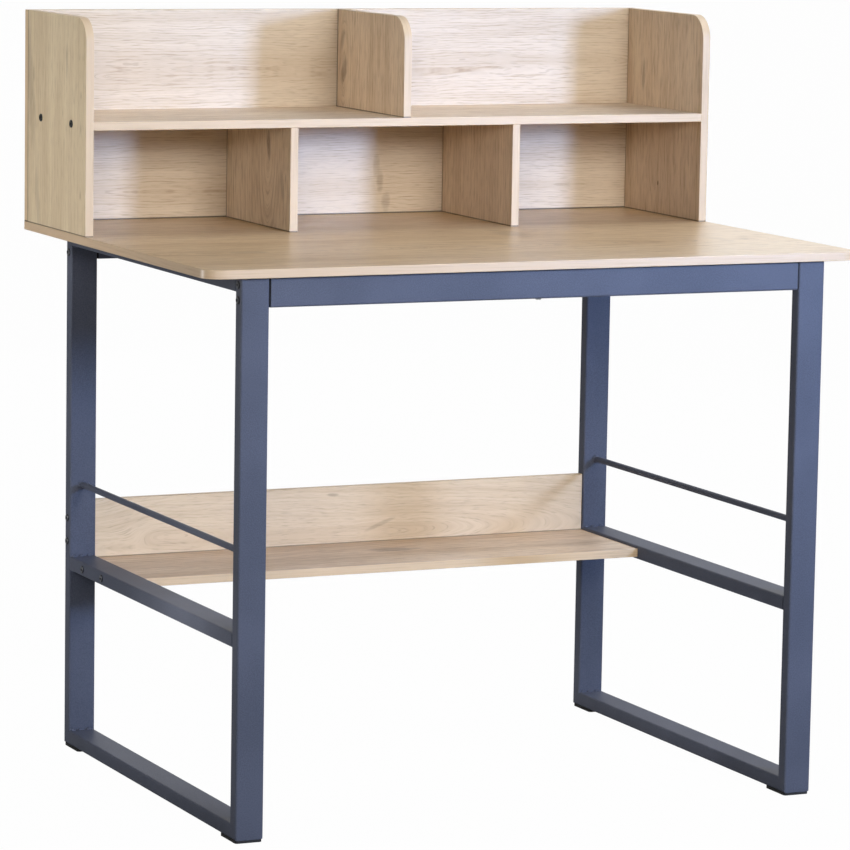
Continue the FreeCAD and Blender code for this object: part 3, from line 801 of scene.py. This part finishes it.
@dataclass
class SideFrame:
    """One welded side frame: tubes, guard rod, foot pads and the marks of its welding."""

    side: Side
    tack_length: float = 0.0090
    tack_height: float = 0.0036
    tack_shifts: tuple[float, ...] = (-0.0125, -0.0015, 0.0110)
    tack_segments: int = 12
    tack_waist: float = 0.72
    collar_bulge: float = 0.0024
    collar_lumps: int = 7
    collar_segments: int = 8
    lump_segments: int = 4
    collar_hollow: Point = (0.93, 0.8, 0.93)

    def node(self, name: str) -> str:
        """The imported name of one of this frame's nodes."""
        return f"{self.side.value}_{name}"

    def build(self, coat: bpy.types.Material) -> None:
        """Model the tack welds at the tube joints and the collars at the ends of the guard rod.

        Args:
            coat: The frame's material.
        """
        marks = [self.tack(place) for place in self.tack_places()]
        marks += [self.collar(end) for end in End]
        finish_piece(join_pieces(marks, self.node("frame_weld_marks")), coat)

    def tack_places(self) -> list[Vector]:
        """Work out where the tacks are.

        Returns:
            The tacks' middles, in the inner corners where rails meet legs.
        """
        faces = (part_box(self.node("front_leg"))[1].y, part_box(self.node("rear_leg"))[0].y)
        levels = [level.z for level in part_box(self.node("shelf_rail"))]
        levels += [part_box(self.node("top_rail"))[0].z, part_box(self.node("foot_rail"))[1].z]
        low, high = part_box(self.node("shelf_rail"))
        middle = (low.x + high.x) / 2
        return [Vector((middle + shift, face, level)) for face in faces for level in levels
                for shift in self.tack_shifts]

    def tack(self, place: Vector) -> bpy.types.Object:
        """Model one tack weld: a short bead with three lumps, laid in a corner along x.

        Args:
            place: Its middle.

        Returns:
            The tack.
        """
        start_piece()
        bpy.ops.mesh.primitive_uv_sphere_add(segments=self.tack_segments, ring_count=self.tack_segments,
                                             radius=self.tack_height, location=place,
                                             rotation=(0.0, math.pi / 2, 0.0))
        piece = bpy.context.object
        bpy.ops.object.transform_apply(location=False, rotation=True, scale=False)
        bpy.ops.object.mode_set(mode="EDIT")
        bpy.ops.mesh.select_all(action="SELECT")
        stretch = self.tack_length / (2 * self.tack_height)
        bpy.ops.transform.resize(value=(stretch, 1.0, 1.0), center_override=place)
        bpy.ops.object.mode_set(mode="OBJECT")
        third = self.tack_length / 6
        waist = [v.index for v in piece.data.vertices if abs(abs(v.co.x) - third) < third / 3]
        edit_vertices(piece, waist)
        bpy.ops.transform.resize(value=(1.0, self.tack_waist, self.tack_waist), center_override=place)
        settle(piece)
        return piece

    def collar(self, end: End) -> bpy.types.Object:
        """Model the lumpy weld round one end of the guard rod.

        Args:
            end: The rod's end.

        Returns:
            The collar.
        """
        low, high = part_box(self.node("guard_rod"))
        face = low.y if end is End.FRONT else high.y
        place = Vector(((low.x + high.x) / 2, face, (low.z + high.z) / 2))
        radius = (high.z - low.z) / 2
        start_piece()
        bpy.ops.mesh.primitive_torus_add(major_segments=self.lump_segments * self.collar_lumps,
                                         minor_segments=self.collar_segments, major_radius=radius,
                                         minor_radius=self.collar_bulge, location=place,
                                         rotation=(math.pi / 2, 0.0, 0.0))
        piece = bpy.context.object
        bpy.ops.object.transform_apply(location=False, rotation=True, scale=False)
        step = 2 * math.pi / self.collar_lumps
        hollows = [v.index for v in piece.data.vertices
                   if abs((math.atan2(v.co.z, v.co.x) % step) - step / 2) < step / 5]
        edit_vertices(piece, hollows)
        bpy.ops.transform.resize(value=self.collar_hollow, center_override=place)
        settle(piece)
        return piece

    def dress(self, coat: bpy.types.Material, plastic: bpy.types.Material) -> None:
        """Give the tubes their paint and the foot pads their plastic.

        Args:
            coat: The frame's material.
            plastic: The pads' material.
        """
        for name in ("front_leg", "rear_leg", "foot_rail", "top_rail", "shelf_rail", "guard_rod"):
            dress(self.node(name), coat)
        for end in End:
            dress(self.node(f"{end.value}_foot_pad"), plastic)


@dataclass
class Aprons:
    """The cross tubes under the tabletop with their end plates."""

    plates: str = "apron_end_plates"

    def dress(self, coat: bpy.types.Material, gap_shade: bpy.types.Material) -> None:
        """Give the tubes their paint and the plates a near-black finish that paints the shade in the gap round each
        tube end.

        Args:
            coat: The frame's material.
            gap_shade: The end plates' material.
        """
        for end in End:
            dress(f"{end.value}_apron", coat)
        # Painted shade: the near-black plates make the gap round each apron end show as shadow.
        dress(self.plates, gap_shade)


@dataclass
class Boards:
    """Every oak board with its own grain."""

    finishes: tuple[tuple[str, OakBoard], ...] = (
        ("tabletop", OakBoard(
            "oak_tabletop", roughness=0.33, grain=Grain.FLAT, seed=1.3, line_spacing=0.016, line_depth=0.42,
            streak_width=0.050, streak_depth=0.75, fleck_width=0.0045, fleck_depth=0.26,
            pale=(218, 190, 151), honey=(198, 167, 127), edge=(201, 175, 144),
            figures=(Figure(-0.340, -0.150, 0.20, 0.10), Figure(0.30, 0.42, 0.03, 0.03)),
            marks=(Mark(0.120, 0.010, 0.030, 0.060, 0.22), Mark(-0.343, -0.150, 0.035, 0.020, 0.20)))),
        ("hutch_left_panel", OakBoard(
            "oak_left_panel", grain=Grain.UPRIGHT_TALL, seed=9.1, line_spacing=0.010, line_depth=0.22,
            streak_width=0.045, fleck_depth=0.16, pale=(217, 199, 166), honey=(197, 174, 139),
            figures=(Figure(0.50, 0.12, 0.03, 0.03),),
            marks=(Mark(0.960, 0.330, 0.110, 0.020, 0.28, 0.12), Mark(0.800, 0.300, 0.050, 0.012, 0.20, 0.15),
                   Mark(1.000, 0.180, 0.030, 0.006, 0.25)),
            contact_shades=(ContactShade("z", 0.762), ContactShade("y", 0.343, 0.0045, 0.60)))),
        ("hutch_right_panel", OakBoard(
            "oak_right_panel", grain=Grain.UPRIGHT_TALL, seed=17.7, line_spacing=0.010, line_depth=0.36,
            streak_width=0.045, figures=(Figure(0.65, 0.42, 0.05, 0.05),),
            marks=(Mark(0.808, 0.234, 0.0045, 0.0022, 1.0), Mark(0.967, 0.288, 0.030, 0.006, 0.40),
                   Mark(0.977, 0.113, 0.040, 0.006, 0.25)),
            contact_shades=(ContactShade("z", 0.762), ContactShade("y", 0.343, 0.0040, 0.35)))),
        ("hutch_back_panel", OakBoard(
            "oak_back_panel", grain=Grain.UPRIGHT_LONG, seed=25.4, line_spacing=0.0037, line_depth=0.36,
            pore_depth=0.26, streak_width=0.022, streak_depth=0.62, fleck_width=0.0016, fleck_depth=0.12,
            pale=(213, 195, 169), honey=(193, 171, 142),
            figures=(Figure(-0.362, 0.970, 0.22, 0.02), Figure(0.408, 0.987, 0.005, 0.10),
                     Figure(0.055, 0.800, 0.010, 0.010)),
            marks=(Mark(0.060, 0.834, 0.007, 0.018, 0.22), Mark(0.066, 0.812, 0.007, 0.020, 0.30),
                   Mark(0.076, 0.782, 0.009, 0.016, 0.28)),
            contact_shades=(ContactShade("z", 0.762, 0.0026, 0.85),))),
        ("hutch_shelf", OakBoard(
            "oak_hutch_shelf", grain=Grain.FLAT, seed=33.8, line_spacing=0.016, line_depth=0.36, streak_width=0.050,
            fleck_width=0.0045, fleck_depth=0.26, pale=(240, 220, 194), honey=(223, 200, 172),
            figures=(Figure(0.15, -0.02, 0.03, 0.03),))),
        ("hutch_upper_divider", OakBoard(
            "oak_upper_divider", grain=Grain.UPRIGHT_TALL, seed=41.2, line_spacing=0.009, line_depth=0.34,
            streak_width=0.040, figures=(Figure(0.976, 0.317, 0.28, 0.20), Figure(0.90, 0.06, 0.03, 0.03)),
            marks=(Mark(0.976, 0.317, 0.026, 0.012, 0.55, -0.2), Mark(1.021, 0.322, 0.020, 0.008, 0.35, -0.3)),
            contact_shades=(ContactShade("z", 0.921), ContactShade("y", 0.343, 0.0050, 0.75)))),
        ("hutch_lower_left_divider", OakBoard(
            "oak_lower_left_divider", grain=Grain.UPRIGHT_TALL, seed=49.6, line_spacing=0.009, line_depth=0.40,
            streak_width=0.040, pale=(230, 212, 185), honey=(210, 188, 158),
            figures=(Figure(0.878, 0.183, 0.25, 0.20), Figure(0.80, 0.05, 0.05, 0.05)),
            marks=(Mark(0.878, 0.183, 0.026, 0.009, 0.60), Mark(0.826, 0.132, 0.028, 0.008, 0.28, 0.2)),
            contact_shades=(ContactShade("z", 0.762), ContactShade("y", 0.343, 0.0050, 0.55)))),
        ("hutch_lower_right_divider", OakBoard(
            "oak_lower_right_divider", grain=Grain.UPRIGHT_TALL, seed=57.9, line_spacing=0.009, line_depth=0.40,
            streak_width=0.040, figures=(Figure(0.70, 0.40, 0.06, 0.06),),
            contact_shades=(ContactShade("z", 0.762), ContactShade("y", 0.343, 0.0050, 0.45)))),
        ("lower_shelf", OakBoard(
            "oak_lower_shelf", grain=Grain.FLAT, seed=65.5, line_spacing=0.014, line_depth=0.36, streak_width=0.040,
            streak_depth=1.0, fleck_width=0.0045, fleck_depth=0.26,
            pale=(224, 199, 170), honey=(204, 175, 142), edge=(213, 184, 146),
            figures=(Figure(-0.10, 0.36, 0.04, 0.04),),
            marks=(Mark(0.05, 0.230, 0.050, 0.020, 0.42), Mark(0.31, 0.20, 0.090, 0.040, 0.16)))),
        ("lower_back_panel", OakBoard(
            "oak_lower_back_panel", grain=Grain.UPRIGHT_LONG, seed=73.1, line_spacing=0.0046, line_depth=0.22,
            pore_depth=0.24, streak_width=0.014, streak_depth=0.65, fleck_width=0.0016, fleck_depth=0.10,
            pale=(218, 195, 161), honey=(200, 173, 137),
            figures=(Figure(-0.290, 0.302, 0.42, 0.09), Figure(0.073, 0.290, 0.03, 0.13),
                     Figure(0.330, 0.230, 0.06, 0.02)),
            marks=(Mark(-0.019, 0.349, 0.012, 0.003, 0.35), Mark(0.058, 0.302, 0.030, 0.005, 0.25, 0.4)),
            contact_shades=(ContactShade("z", 0.276, 0.0018, 0.55),))),
    )

    def dress(self) -> None:
        """Give each board its own oak."""
        for node, finish in self.finishes:
            dress(node, finish.material())


@dataclass(frozen=True)
class ScrewPlace:
    """Where a wood screw sits: the underside of its head, and whether it points up or forward."""

    x: float
    y: float
    z: float
    forward: bool = False


@dataclass
class WoodScrews:
    """A group of equal wood screws with cross recesses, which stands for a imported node."""

    node: str
    length: float
    places: tuple[ScrewPlace, ...]
    head_radius: float = 0.004
    head_height: float = 0.002
    shank_radius: float = 0.002
    tip_length: float = 0.005
    recess_reach: float = 0.0024
    recess_width: float = 0.0010
    recess_depth: float = 0.0012
    sides: int = 32
    tip_share: float = 0.12
    edge_share: float = 0.3
    edge_steps: int = 3

    def build(self, zinc: bpy.types.Material) -> None:
        """Model one screw, copy it to every place and let the group stand for the node.

        Args:
            zinc: The screws' material.
        """
        master = self.master()
        copies = [self.copy(master, place) for place in self.places]
        bpy.data.objects.remove(master)
        group = join_pieces(copies, f"{self.node}_with_recess")
        finish_piece(group, zinc)
        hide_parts(self.node)

    def master(self) -> bpy.types.Object:
        """Model a screw along +z, with the underside of its head at the origin.

        Returns:
            The screw.
        """
        start_piece()
        bpy.ops.mesh.primitive_cylinder_add(vertices=self.sides, radius=self.head_radius, depth=self.head_height,
                                            location=(0.0, 0.0, -self.head_height / 2))
        screw = bpy.context.object
        bpy.ops.object.transform_apply(location=True, rotation=True, scale=True)
        self.select_cap(screw, 0.0)
        bpy.ops.mesh.inset(thickness=self.head_radius - self.shank_radius)
        for reach, shrink in ((self.length - self.tip_length, 1.0), (self.tip_length, self.tip_share)):
            bpy.ops.mesh.extrude_region_move(TRANSFORM_OT_translate={"value": (0.0, 0.0, reach)})
            bpy.ops.transform.resize(value=(shrink, shrink, 1.0))
        bpy.ops.object.mode_set(mode="OBJECT")
        self.select_cap(screw, -self.head_height)
        bpy.ops.mesh.bevel(offset=self.head_height * self.edge_share, segments=self.edge_steps)
        bpy.ops.object.mode_set(mode="OBJECT")
        self.cut_recess(screw)
        return screw

    def select_cap(self, screw: bpy.types.Object, level: float) -> None:
        """Enter edit mode with the flat face at a level selected.

        Args:
            screw: The screw.
            level: Height of the face.
        """
        bpy.ops.object.mode_set(mode="EDIT")
        bpy.ops.mesh.select_mode(type="FACE")
        bpy.ops.mesh.select_all(action="DESELECT")
        bpy.ops.object.mode_set(mode="OBJECT")
        for face in screw.data.polygons:
            face.select = abs(face.center.z - level) < LEVEL_TOLERANCE and abs(face.normal.z) > UPRIGHT_NORMAL
        bpy.ops.object.mode_set(mode="EDIT")

    def cut_recess(self, screw: bpy.types.Object) -> None:
        """Cut the cross recess into the head.

        Args:
            screw: The screw.
        """
        for reach in ((self.recess_reach, self.recess_width / 2), (self.recess_width / 2, self.recess_reach)):
            start_piece()
            bpy.ops.mesh.primitive_cube_add(size=2.0, location=(0.0, 0.0, -self.head_height))
            cutter = bpy.context.object
            cutter.scale = (reach[0], reach[1], self.recess_depth)
            bpy.ops.object.transform_apply(location=True, rotation=True, scale=True)
            start_piece()
            bpy.context.view_layer.objects.active = screw
            screw.select_set(True)
            notch = screw.modifiers.new("notch", "BOOLEAN")
            notch.operation = "DIFFERENCE"
            notch.object = cutter
            bpy.ops.object.modifier_apply(modifier=notch.name)
            bpy.data.objects.remove(cutter)

    def copy(self, master: bpy.types.Object, place: ScrewPlace) -> bpy.types.Object:
        """Copy the screw to a place.

        Args:
            master: The screw at the origin.
            place: Where the copy goes.

        Returns:
            The copy, with its place in its mesh.
        """
        piece = master.copy()
        piece.data = master.data.copy()
        turn = Matrix.Rotation(math.pi / 2, 4, "X") if place.forward else Matrix.Identity(4)
        piece.data.transform(Matrix.Translation((place.x, place.y, place.z)) @ turn)
        bpy.context.scene.collection.objects.link(piece)
        return piece


@dataclass
class Hardware:
    """Bolts, nuts, screws and dowels."""

    frame_bolts: tuple[str, ...] = ("apron_bolts", "lower_bolts")
    hutch_bolts: str = "hutch_shelf_bolts"
    nuts: tuple[str, ...] = ("apron_weld_nuts", "barrel_nuts")
    dowels: str = "divider_dowels"
    screw_inset: float = 0.050
    top_screw_inset: float = 0.120
    head_recess: float = 0.0022
    apron_screw_length: float = 0.049
    rail_screw_length: float = 0.029
    hutch_screw_length: float = 0.028

    def build(self, zinc: bpy.types.Material) -> None:
        """Model the three kinds of wood screw.

        Args:
            zinc: The screws' material.
        """
        for screws in (self.apron_screws(), self.rail_screws(), self.hutch_screws()):
            screws.build(zinc)

    def apron_screws(self) -> WoodScrews:
        """Place the long screws through the aprons.

        Returns:
            The group, one screw in the middle of each apron.
        """
        boxes = [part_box(f"{end.value}_apron") for end in End]
        places = tuple(ScrewPlace(0.0, (low.y + high.y) / 2, low.z) for low, high in boxes)
        return WoodScrews("tabletop_apron_screws", self.apron_screw_length, places)

    def rail_screws(self) -> WoodScrews:
        """Place the screws through the top rails.

        Returns:
            The group, two screws in each rail.
        """
        places: list[ScrewPlace] = []
        for side in Side:
            low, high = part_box(f"{side.value}_top_rail")
            places += [ScrewPlace((low.x + high.x) / 2, y, low.z)
                       for y in (low.y + self.top_screw_inset, high.y - self.top_screw_inset)]
        return WoodScrews("tabletop_rail_screws", self.rail_screw_length, tuple(places))

    def hutch_screws(self) -> WoodScrews:
        """Place the screws through the tabletop and the back panel into the hutch's standing boards.

        Returns:
            The group.
        """
        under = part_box("tabletop")[0].z + self.head_recess
        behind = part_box("hutch_back_panel")[1].y - self.head_recess
        places: list[ScrewPlace] = []
        for name in ("left_panel", "lower_left_divider", "lower_right_divider", "right_panel", "upper_divider"):
            low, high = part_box(f"hutch_{name}")
            x = (low.x + high.x) / 2
            levels = [(low.z + high.z) / 2]
            if "panel" in name:
                levels = [low.z + self.screw_inset, high.z - self.screw_inset]
            places += [ScrewPlace(x, behind, level, forward=True) for level in levels]
            if "upper" not in name:
                places += [ScrewPlace(x, y, under) for y in (low.y + self.screw_inset, high.y - self.screw_inset)]
        return WoodScrews("hutch_screws", self.hutch_screw_length, tuple(places))

    def dress(self, black: bpy.types.Material, grey: bpy.types.Material, zinc: bpy.types.Material,
              beech: bpy.types.Material) -> None:
        """Give the bolts, nuts and dowels their finishes.

        Args:
            black: The hutch bolts' material.
            grey: The frame bolts' material.
            zinc: The nuts' material.
            beech: The dowels' material.
        """
        dress(self.hutch_bolts, black)
        for node in self.frame_bolts:
            dress(node, grey)
        for node in self.nuts:
            dress(node, zinc)
        dress(self.dowels, beech)


@dataclass(frozen=True)
class Softbox:
    """A square studio lamp."""

    name: str
    place: Point
    target: Point
    size: float
    watts: float
    tint: Colour = (1.0, 1.0, 1.0)
    spread: float = 180.0

    def build(self) -> None:
        """Add the lamp, turned to its target."""
        lamp = bpy.data.lights.new(self.name, "AREA")
        lamp.shape = "SQUARE"
        lamp.size = self.size
        lamp.energy = self.watts
        lamp.color = self.tint
        lamp.spread = math.radians(self.spread)
        holder = bpy.data.objects.new(self.name, lamp)
        holder.location = self.place
        aim = Vector(self.target) - Vector(self.place)
        holder.rotation_euler = aim.to_track_quat("-Z", "Y").to_euler()
        bpy.context.scene.collection.objects.link(holder)


@dataclass(frozen=True)
class Viewpoint:
    """The camera: its eye, its turn in degrees, its focal length in the image's pixels and how far it sees."""

    eye: Point = (-2.5531, -5.5466, 1.3460)
    yaw: float = 24.624
    pitch: float = 7.948
    roll: float = 0.976
    focal_px: float = 4360.57
    sight: float = 200.0

    def build(self) -> None:
        """Add the camera and make it the scene's own."""
        yaw, pitch, roll = (math.radians(angle) for angle in (self.yaw, self.pitch, self.roll))
        ahead = Vector((math.sin(yaw) * math.cos(pitch), math.cos(yaw) * math.cos(pitch), -math.sin(pitch)))
        level = Vector((math.cos(yaw), -math.sin(yaw), 0.0))
        right = level * math.cos(roll) + level.cross(ahead) * math.sin(roll)
        up = right.cross(ahead)
        turn = Matrix((right, up, -ahead)).transposed().to_4x4()
        lens = bpy.data.cameras.new("camera")
        lens.sensor_width = SENSOR_MM
        lens.lens = self.focal_px / IMAGE_WIDTH_PX * SENSOR_MM
        lens.clip_end = self.sight
        holder = bpy.data.objects.new("camera", lens)
        holder.matrix_world = Matrix.Translation(self.eye) @ turn
        bpy.context.scene.collection.objects.link(holder)
        bpy.context.scene.camera = holder


@dataclass(frozen=True)
class Studio:
    """A white room: pale floor, faint light all round, a cool key lamp at the right and plain fills."""

    ambient: float = 0.176
    ambient_tint: Colour = (1.0, 1.0, 1.0)
    floor_size: float = 120.0
    floor_grey: float = 0.45
    floor_glow: float = 0.985
    lamps: tuple[Softbox, ...] = (
        Softbox("key_lamp", (1.60, -2.75, 1.27), (0.0, 0.2, 0.85), 0.38, 12.0, (0.384, 0.555, 0.969), 60.0),
        Softbox("front_lamp", (0.5, -4.3, 2.1), (0.0, 0.0, 0.8), 1.2, 97.6),
        Softbox("hutch_lamp", (-2.2, -4.2, 1.9), (-0.1, 0.2, 0.95), 0.8, 3.35, spread=40.0),
        Softbox("hutch_side_lamp", (-2.4, 0.5, 1.9), (-0.5, 0.2, 0.98), 0.5, 0.32, spread=24.0),
        Softbox("low_left_lamp", (-1.4, 0.35, 0.55), (-0.4, 0.1, 0.6), 0.4, 4.2),
        Softbox("rail_lamp", (-1.25, -0.40, 0.60), (-0.43, -0.14, 0.25), 0.2, 0.15, (1.0, 0.97, 0.92), 20.0),
        Softbox("top_lamp", (2.2, 0.2, 3.2), (0.0, 0.0, 0.7), 1.6, 45.2),
        Softbox("right_rear_lamp", (2.5, 3.0, 2.4), (0.0, 0.0, 0.7), 1.6, 26.2),
        Softbox("rear_lamp", (0.6, 4.5, 1.6), (0.0, 0.0, 0.6), 3.0, 25.6),
    )

    def build(self) -> None:
        """Set up the floor, the light and the camera."""
        bpy.context.scene.view_settings.view_transform = "Standard"
        self.light_world()
        self.lay_floor()
        for lamp in self.lamps:
            lamp.build()
        Viewpoint().build()
        log.info("studio ready")

    def seen(self, graph: Graph) -> Sock:
        """Give 1 for rays that show the room itself to the camera, or else 0."""
        return graph.node("ShaderNodeLightPath", output="Is Camera Ray")

    def light_world(self) -> None:
        """Make the world white to the eye and softly lit for the desk."""
        world = bpy.data.worlds.new("white_room")
        world.use_nodes = True
        bpy.context.scene.world = world
        graph = Graph(world.node_tree)
        lit = graph.node("ShaderNodeBackground", None,
                         {"Color": (*self.ambient_tint, 1.0), "Strength": self.ambient})
        white = graph.node("ShaderNodeBackground", None, {"Color": WHITE, "Strength": 1.0})
        graph.close(graph.node("ShaderNodeMixShader", None, {0: self.seen(graph), 1: lit, 2: white}),
                    "ShaderNodeOutputWorld")

    def lay_floor(self) -> None:
        """Lay the pale floor, which keeps the desk's shadow."""
        start_piece()
        bpy.ops.mesh.primitive_plane_add(size=self.floor_size)
        floor = bpy.context.object
        floor.name = "floor"
        made = bpy.data.materials.new("white_floor")
        made.use_nodes = True
        graph = Graph(made.node_tree)
        matt = graph.node("ShaderNodeBsdfDiffuse", None, {"Color": (*(self.floor_grey,) * 3, 1.0)})
        glow = graph.node("ShaderNodeEmission", None, {"Color": WHITE, "Strength": 1.0})
        share = self.seen(graph) * self.floor_glow
        graph.close(graph.node("ShaderNodeMixShader", None, {0: share, 1: matt, 2: glow}))
        floor.data.materials.append(made)


def main() -> None:
    """Load the solids, dress the desk part by part and set up the studio."""
    logging.basicConfig(level=logging.INFO, format="%(message)s")
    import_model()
    coat = PowderCoat("frame_powder_coat", roughness=0.45, specular=0.12).material()
    plastic = SpeckledFinish("pad_plastic", roughness=0.55, colour=(24, 24, 25), speck=(36, 36, 38)).material()
    # End plates near black: painted shade for the gap between each apron and leg.
    gap_shade = SpeckledFinish("end_plate_painted_shade", roughness=0.7, specular=0.2, colour=(15, 15, 17),
                            speck=(22, 22, 24)).material()
    black = SpeckledFinish("bolt_black_oxide", roughness=0.38, colour=(17, 17, 19), speck=(32, 32, 35),
                           metal=0.5).material()
    # Frame bolts: black oxide with a painted grey reflection on the crowns.
    grey = SheenPaintedBolt("bolt_oxide_painted_sheen", roughness=0.36, crown=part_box("apron_bolts")[1].x).material()
    zinc = SpeckledFinish("zinc_plate", roughness=0.32, colour=(196, 197, 194), speck=(168, 170, 169), metal=1.0,
                          scale=900.0).material()
    beech = DowelWood("dowel_beech", roughness=0.6).material()
    for side in Side:
        frame = SideFrame(side)
        frame.build(coat)
        frame.dress(coat, plastic)
    Aprons().dress(coat, gap_shade)
    Boards().dress()
    hardware = Hardware()
    hardware.build(zinc)
    hardware.dress(black, grey, zinc, beech)
    Studio().build()


if __name__ == "__main__":
    main()
